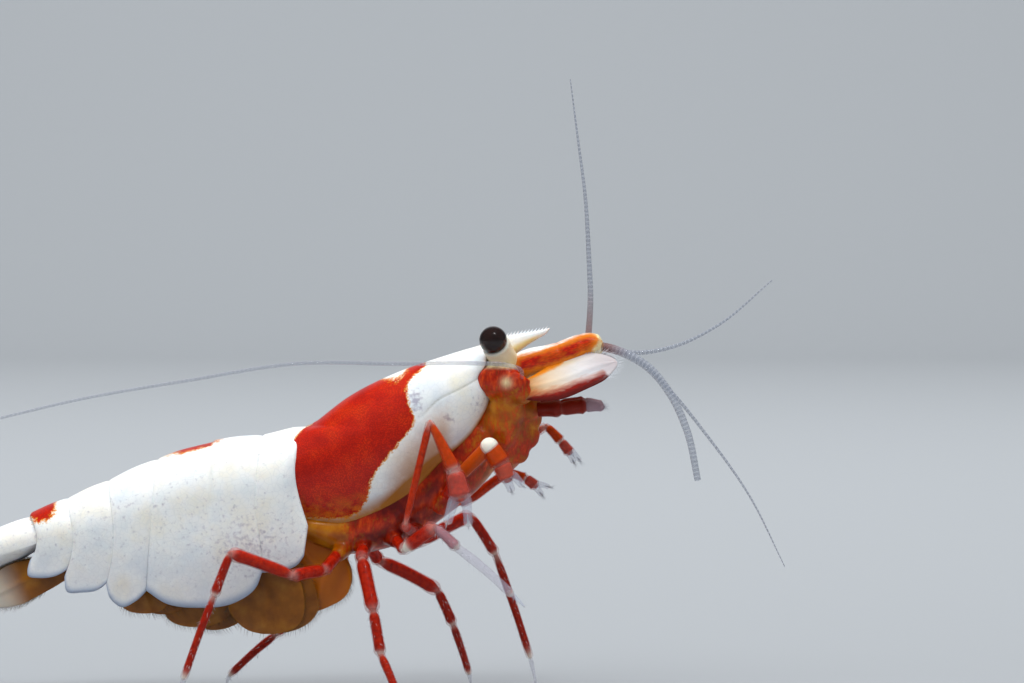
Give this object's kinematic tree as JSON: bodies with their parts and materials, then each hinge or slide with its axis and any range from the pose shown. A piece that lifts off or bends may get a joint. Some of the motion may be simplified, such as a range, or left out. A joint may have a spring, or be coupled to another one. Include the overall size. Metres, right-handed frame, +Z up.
{
  "type": "aquarium bee shrimp",
  "caption": "Life-size still model of a red and white freshwater bee shrimp, standing with its head raised and its feelers spread.",
  "frame": {"origin": "centre of the whole animal's box, feelers included, at floor level under the soles of its feet", "axes": "+X from tail to head, +Y to the animal's left, +Z up"},
  "size_m": [0.0406, 0.0172, 0.0243],
  "materials": {
    "carapace_shell": "glossy enamel-like shell, deep red behind and opaque white in front",
    "body_shell": "glossy opaque white shell with translucent bluish rims and small red marks",
    "antennal_scale": "satin cream blade with a dark red outer edge",
    "feeler": "satin, bluish-clear, ringed",
    "antennule_stem": "satin orange-red with a white upper edge",
    "head_flesh": "moist translucent orange-brown",
    "thorax_flesh": "moist translucent red-orange",
    "eyestalk": "satin cream",
    "eye": "polished brown-black",
    "limb": "glossy translucent red with clear joints and tips",
    "swimmeret": "thin translucent amber blades"
  },
  "bodies": {
    "root": {"abdomen_1": "body_shell", "abdomen_2": "body_shell", "abdomen_3": "body_shell", "abdomen_4": "body_shell", "abdomen_5": "body_shell", "abdomen_6": "body_shell", "antenna_base_left": "head_flesh", "antenna_base_right": "head_flesh", "antenna_left": "feeler", "antenna_right": "feeler", "antennal_scale_left": "antennal_scale", "antennal_scale_right": "antennal_scale", "antennule_inner_left": "feeler", "antennule_inner_right": "feeler", "antennule_left": "antennule_stem", "antennule_outer_left": "feeler", "antennule_outer_right": "feeler", "antennule_right": "antennule_stem", "carapace": "carapace_shell", "eye_left": "eye", "eye_right": "eye", "eyestalk_left": "eyestalk", "eyestalk_right": "eyestalk", "leg_1_left": "limb", "leg_1_right": "limb", "leg_2_left": "limb", "leg_2_right": "limb", "leg_3_left": "limb", "leg_3_right": "limb", "leg_4_left": "limb", "leg_4_right": "limb", "leg_5_left": "limb", "leg_5_right": "limb", "maxilliped_left": "limb", "maxilliped_right": "limb", "mouthparts": "head_flesh", "pleopod_1_left": "swimmeret", "pleopod_1_right": "swimmeret", "pleopod_2_left": "swimmeret", "pleopod_2_right": "swimmeret", "pleopod_3_left": "swimmeret", "pleopod_3_right": "swimmeret", "pleopod_4_left": "swimmeret", "pleopod_4_right": "swimmeret", "pleopod_5_left": "swimmeret", "pleopod_5_right": "swimmeret", "rostrum": "body_shell", "telson": "body_shell", "thorax": "thorax_flesh", "uropod_inner_left": "body_shell", "uropod_inner_right": "body_shell", "uropod_outer_left": "body_shell", "uropod_outer_right": "body_shell"}
  },
  "joints": []
}
